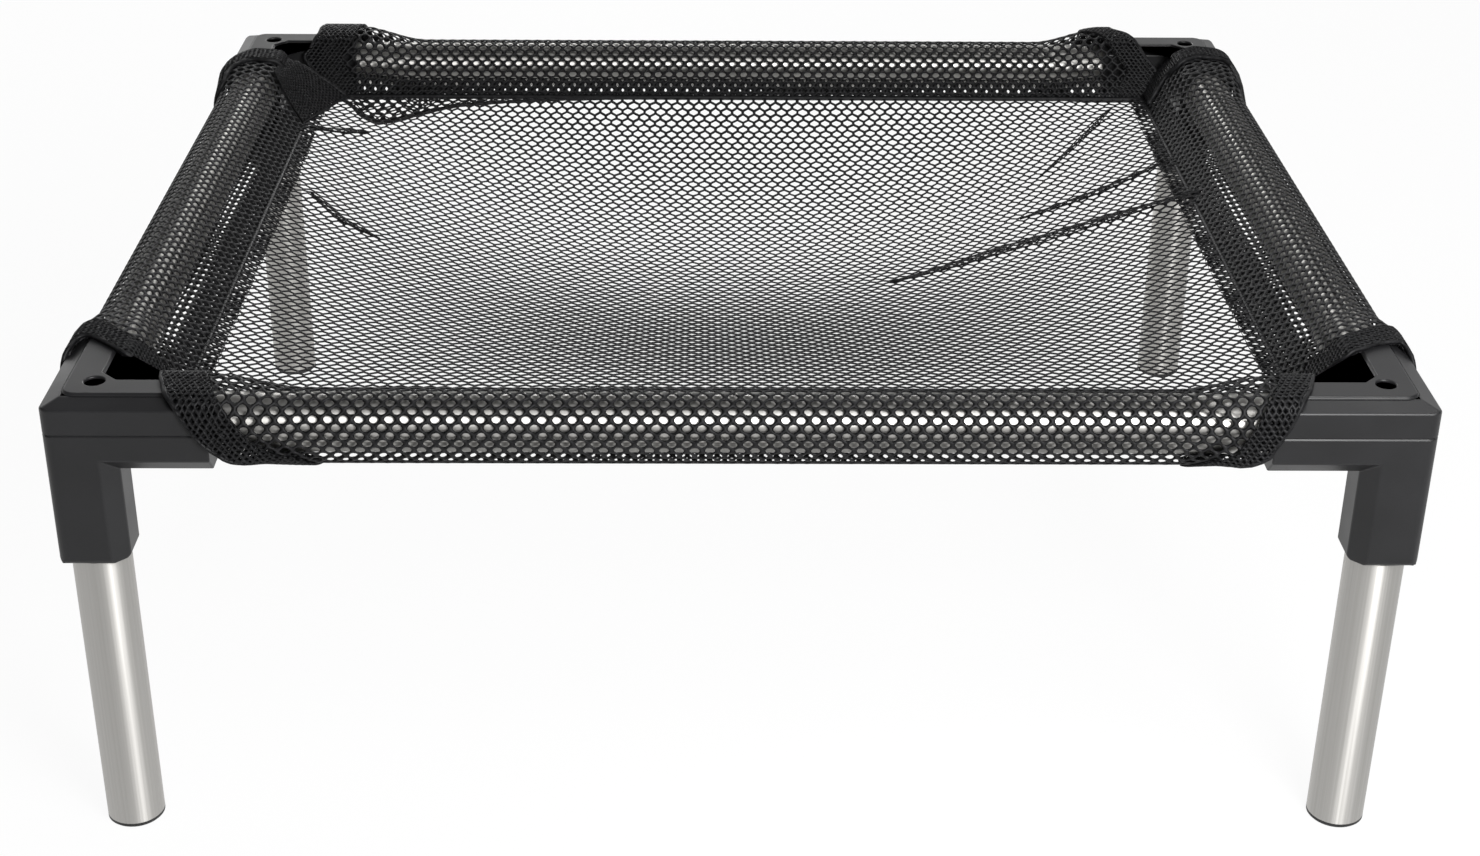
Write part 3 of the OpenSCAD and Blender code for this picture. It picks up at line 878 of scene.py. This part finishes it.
web = {
    "hem": [(-261.0, 198.0, 215.5), (-252.0, 198.0, 213.0), (-243.0, 198.0, 207.5),
            (-234.0, 197.8, 201.0), (-225.0, 197.6, 193.4)],
    "base": (172.0, 150.0), "baseLift": 0.6,  # its other edge, on the side sleeve from the rail to the seam
    "along": 24, "deep": 14,  # points of its sheet
    "layers": ((0.5, (0.0, 0.0)), (-0.4, (0.5, 0.4))),  # lift, and where the cells begin
    "hemThick": 1.3, "sideThick": 1.0, "sidePoints": 60,  # its rolled edges
}
droop = {
    "low": [(-229, 195, 193.2), (-221, 194, 188), (-216, 193, 183), (-207, 192, 178.5),
            (-197, 192, 180), (-182, 193, 184), (-160, 195, 188.5), (-135, 196.5, 190),
            (-100, 197.5, 191.3), (-47, 198.5, 192)],
    "topY": 199.6, "topLift": 0.5,  # it hangs from just above the rear seam
    "along": 70, "rows": 9, "deep": 18.0,  # points of its sheet, and the flat depth
    "foldAt": (0, 0.1, 0.4, 1), "foldThick": (0.8, 1.7, 1.2, 0.6),  # its rolled edge along its length
}


def cornerWeb(lift):
    hem = spread(web["hem"], web["along"])
    far, near = web["base"]
    base = []
    for t in np.linspace(0, 1, web["along"]):
        place, _, _ = sleevePoint("left", np.array([far + (near - far) * t]), 0, 1 - t, web["baseLift"])
        base.append(place[0])
    base = np.array(base)
    rows = np.linspace(0, 1, web["deep"])[:, None, None]
    points = base[None] * (1 - rows) + hem[None] * rows
    points[..., 2] += lift
    deep = np.linspace(0, float(np.mean(np.linalg.norm(hem - base, axis=1))), web["deep"])
    flat = np.stack(np.broadcast_arrays(runOf(hem)[None], deep[:, None]), -1)
    return points * mm, flat * mm


def droopSheet():
    low = spread(droop["low"], droop["along"])
    top = low.copy()
    top[:, 1] = droop["topY"]
    top[:, 2] = cot["railZ"] - cot["seamLow"] + droop["topLift"]
    rows = np.linspace(0, 1, droop["rows"])[:, None, None]
    points = low[None] * (1 - rows) + top[None] * rows
    deep = np.linspace(0, droop["deep"], droop["rows"])
    flat = np.stack(np.broadcast_arrays(low[None, :, 0], deep[:, None]), -1)
    return points * mm, flat * mm


for lift, start in web["layers"]:
    sheet, flat = cornerWeb(lift)
    nets["leftHems"].append(dressSheet("cornerWeb", sheet, flat, "hem", start))
nets["leftHems"].append(rolledEdge("webHem", sheet[-1], web["hemThick"] * mm))
nets["leftHems"].append(rolledEdge("webSide", sheet[:, -1], web["sideThick"] * mm, web["sidePoints"]))
sheet, flat = droopSheet()
nets["rearHems"].append(dressSheet("droopNet", sheet, flat))
foldThick = np.interp(np.linspace(0, 1, rolled["points"]), droop["foldAt"], droop["foldThick"])
nets["rearHems"].append(rolledEdge("droopFold", sheet[0], foldThick * mm))

for name, parts in nets.items():
    made = newObject(name, joined(name, parts))
    dressYarn(made)
    print(name, len(made.data.polygons), "faces")
for side, lay in sleeves.items():
    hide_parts(side + "_sleeve")


# Seam band round the bed

band = {"half": 1.0, "lip": 0.6, "rise": 0.84, "count": 80}  # half width, pointed edges, half height, steps


def seamBand():
    parts = []
    x, y, z = cot["bedX"], cot["bedY"], cot["railZ"] - cot["seamLow"]
    half, lip, rise, count = band["half"], band["lip"], band["rise"], band["count"]
    section = [(-half, -rise), (half, -rise), (half + lip, 0), (half, rise), (-half, rise), (-half - lip, 0)]
    sides = len(section)
    around = [(-x, -y), (x, -y), (x, y), (-x, y)]
    for side, inward in enumerate(((0, 1), (-1, 0), (0, -1), (1, 0))):
        a, b = around[side], around[(side + 1) % 4]
        points, faces = [], []
        for i in range(count + 1):
            t = i / count
            for across, up in section:
                points.append(((a[0] + (b[0] - a[0]) * t + inward[0] * across) * mm,
                               (a[1] + (b[1] - a[1]) * t + inward[1] * across) * mm, (z + up) * mm))
        for i in range(count):
            for k in range(sides):
                p, q = i * sides + k, i * sides + (k + 1) % sides
                faces.append((p, q, q + sides, p + sides))
        faces.append(tuple(range(sides))[::-1])
        faces.append(tuple(count * sides + k for k in range(sides)))
        parts.append(meshFrom("band", points, faces))
    return parts


seam = newObject("seamBand", joined("seamBand", seamBand()))
dressYarn(seam)
print("seam band made")


# Moulded corners: the CAD form with softened edges and a mould's parting line

moulded = {
    "merge": 0.1, "flatTurn": 0.6,  # points this near are one, and faces within this turn are one face
    "soft": 0.8, "steps": 3, "edgeTurn": 20.0,  # edges sharper than this turn are softened
    "stray": 0.45,  # a softened point further than this from the CAD form goes back onto it
    "partZ": 201.5, "partHalf": 0.6, "partDeep": 0.45, "outside": 14.0,  # fine groove round the outer faces
    "exact": 0.001, "cutSnap": 0.0001,  # what counts as on the groove's planes
    "flatWeight": 60,  # large faces stay flat
}


def softCorner(name, node):
    look = moulded
    shape = bmesh.new()
    shape.from_mesh(node.data)
    bmesh.ops.remove_doubles(shape, verts=shape.verts, dist=look["merge"] * mm)
    bmesh.ops.dissolve_limit(shape, angle_limit=math.radians(look["flatTurn"]), use_dissolve_boundaries=False,
                             verts=shape.verts, edges=shape.edges)
    sharp = BVHTree.FromBMesh(shape)
    mesh = bpy.data.meshes.new(name)
    shape.to_mesh(mesh)
    shape.free()
    made = newObject(name, mesh)
    edges = made.modifiers.new("soft edges", "BEVEL")
    edges.width, edges.segments = look["soft"] * mm, look["steps"]
    edges.limit_method, edges.angle_limit = "ANGLE", math.radians(look["edgeTurn"])
    edges.use_clamp_overlap = False
    mesh = asMesh(made)

    shape = bmesh.new()
    shape.from_mesh(mesh)
    for point in shape.verts:
        nearest, _, _, gap = sharp.find_nearest(point.co)
        if gap > look["stray"] * mm:
            point.co = nearest
    partZ, exact = look["partZ"] * mm, look["exact"] * mm
    for up in (-look["partHalf"], 0.0, look["partHalf"]):
        bmesh.ops.bisect_plane(shape, geom=shape.verts[:] + shape.edges[:] + shape.faces[:],
                               dist=look["cutSnap"] * mm, plane_co=(0, 0, (look["partZ"] + up) * mm),
                               plane_no=(0, 0, 1))
    shape.normal_update()
    for point in shape.verts:
        beyond = max(abs(point.co.x) - cot["legX"] * mm, abs(point.co.y) - cot["legY"] * mm)
        if abs(point.co.z - partZ) < exact and beyond > look["outside"] * mm:
            point.co -= Vector((point.normal.x, point.normal.y, 0)).normalized() * look["partDeep"] * mm
    for edge in shape.edges:
        high, low = (point.co.z - partZ for point in edge.verts)
        level = abs(high - low) < exact and abs(high) < look["partHalf"] * mm + 10 * exact
        edge.smooth = not level  # the groove's edges stay crisp
    for face in shape.faces:
        face.smooth = True
    shape.to_mesh(mesh)
    shape.free()
    made = newObject(name, mesh)
    flats = made.modifiers.new("flat faces", "WEIGHTED_NORMAL")
    flats.mode, flats.weight, flats.keep_sharp = "FACE_AREA", look["flatWeight"], True
    mesh = asMesh(made)
    mesh.materials.clear()
    mesh.materials.append(finishes["corner"])
    mesh.name = name
    return newObject(name, mesh)


for name, node in nodes.items():
    if name.endswith("_corner"):
        side, end, _ = name.split("_")
        piece = softCorner(side + end.capitalize() + "Corner", node)
        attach(piece, "frame")
        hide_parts(name)
        print(piece.name, len(piece.data.polygons), "faces")


# Tubes and feet keep their CAD form

for name, node in nodes.items():
    if name.endswith("_foot"):
        finish = "foot"
    elif name.endswith("_leg"):
        finish = "steelZ"
    elif name.endswith("_rail"):
        finish = "steelX" if name.startswith(("front", "rear")) else "steelY"
    else:
        continue
    node.data.materials.clear()
    node.data.materials.append(finishes[finish])
print("tubes and feet dressed")


# Studio

studio = {
    "width": 6.0, "front": -3.0, "rear": 1.6, "height": 2.4,  # floor that rises into a backdrop
    "sweep": 0.5, "sweepSteps": 12,
    "pale": (0.86, 0.86, 0.86, 1), "rough": 0.9, "glow": 0.94, "worldLight": 0.26,
    "lights": {
        "keyLight": {"at": (0.35, -0.95, 0.62), "aim": (0.0, 0.0, 0.16), "size": (0.32, 0.42), "power": 12.0},
        "fillLight": {"at": (0.6, -0.8, 1.1), "aim": (0.15, -0.2, 0.2), "size": (0.5, 0.6), "power": 8.0},
        "topCard": {"at": (0.65, 0.2, 1.3), "aim": (0.27, -0.24, 0.21), "size": (0.35, 0.35), "power": 2.0},
        "rearCard": {"at": (-0.15, 1.3, 0.85), "aim": (0.1, 0.0, 0.2), "size": (0.26, 0.4), "power": 4.0},
        "rearLeft": {"at": (-0.9, 1.25, 0.5), "aim": (-0.27, 0.0, 0.2), "size": (0.6, 0.4), "power": 1.0},
    },
}


def lightPathMask(tree):
    # rays that see the floor glow: straight ones, mirrored ones and those through something clear
    rays = tree.nodes.new("ShaderNodeLightPath").outputs
    seen = rays["Is Camera Ray"]
    for name in ("Is Glossy Ray", "Is Transmission Ray"):
        most = tree.nodes.new("ShaderNodeMath")
        most.operation = "MAXIMUM"
        tree.links.new(seen, most.inputs[0])
        tree.links.new(rays[name], most.inputs[1])
        seen = most.outputs[0]
    return seen


def floorFinish():
    made, tree, bsdf = startMaterial("paleFloor")
    node, link = tree.nodes.new, tree.links.new
    bsdf.inputs["Base Color"].default_value = studio["pale"]
    bsdf.inputs["Roughness"].default_value = studio["rough"]
    glow, mix, scale = node("ShaderNodeEmission"), node("ShaderNodeMixShader"), node("ShaderNodeMath")
    glow.inputs["Color"].default_value = (1, 1, 1, 1)
    scale.operation = "MULTIPLY"
    scale.inputs[1].default_value = studio["glow"]
    link(lightPathMask(tree), scale.inputs[0])
    link(scale.outputs[0], mix.inputs[0])
    link(bsdf.outputs[0], mix.inputs[1])
    link(glow.outputs[0], mix.inputs[2])
    oneSided, facing = node("ShaderNodeMixShader"), node("ShaderNodeNewGeometry")  # clear from below
    link(facing.outputs["Backfacing"], oneSided.inputs[0])
    link(mix.outputs[0], oneSided.inputs[1])
    link(node("ShaderNodeBsdfTransparent").outputs[0], oneSided.inputs[2])
    link(oneSided.outputs[0], tree.nodes["Material Output"].inputs["Surface"])
    return made


def makeFloor():
    half, curve = studio["width"] / 2, studio["sweep"]
    profile = [(studio["front"], 0), (studio["rear"] - curve, 0)]
    for i in range(1, studio["sweepSteps"] + 1):
        turn = math.radians(90 * i / studio["sweepSteps"])
        profile.append((studio["rear"] - curve + curve * math.sin(turn), curve - curve * math.cos(turn)))
    profile.append((studio["rear"], studio["height"]))
    points = [(x, y, z) for y, z in profile for x in (-half, half)]
    faces = [(2 * i, 2 * i + 1, 2 * i + 3, 2 * i + 2) for i in range(len(profile) - 1)]
    floor = newObject("floor", meshFrom("floor", points, faces))
    floor.data.materials.append(floorFinish())


def makeWorld():
    world = bpy.data.worlds.new("studio")
    bpy.context.scene.world = world
    world.use_nodes = True
    back = world.node_tree.nodes["Background"]
    back.inputs["Color"].default_value = (1, 1, 1, 1)
    back.inputs["Strength"].default_value = studio["worldLight"]


def softLight(name, look):
    data = bpy.data.lights.new(name, "AREA")
    data.shape = "RECTANGLE"
    data.size, data.size_y = look["size"]
    data.energy = look["power"]
    made = newObject(name, data)
    made.location = look["at"]
    made.rotation_euler = (Vector(look["aim"]) - Vector(look["at"])).to_track_quat("-Z", "Y").to_euler()


view = {
    "at": (-18.0, -1089.0, 646.0), "pitch": 27.44, "yaw": 0.70, "roll": 0.46,
    "sensor": 36.0, "lens": 56.02, "shift": (0.0108, -0.0034),
}


def makeCamera():
    pitch, yaw, roll = (math.radians(view[k]) for k in ("pitch", "yaw", "roll"))
    ahead = Vector((math.sin(yaw) * math.cos(pitch), math.cos(yaw) * math.cos(pitch), -math.sin(pitch)))
    level = Vector((math.cos(yaw), -math.sin(yaw), 0))
    up = level.cross(ahead)
    right = math.cos(roll) * level + math.sin(roll) * up
    above = -math.sin(roll) * level + math.cos(roll) * up
    data = bpy.data.cameras.new("camera")
    data.sensor_width, data.lens = view["sensor"], view["lens"]
    data.shift_x, data.shift_y = view["shift"]
    made = newObject("camera", data)
    turn = Matrix((right, above, -ahead)).transposed().to_4x4()
    made.matrix_world = Matrix.Translation(Vector(view["at"]) * mm) @ turn
    bpy.context.scene.camera = made


makeFloor()
makeWorld()
for name, look in studio["lights"].items():
    softLight(name, look)
makeCamera()
for helper in cells.values():
    bpy.data.objects.remove(helper)
bpy.context.scene.view_settings.view_transform = "Standard"
print("studio ready")
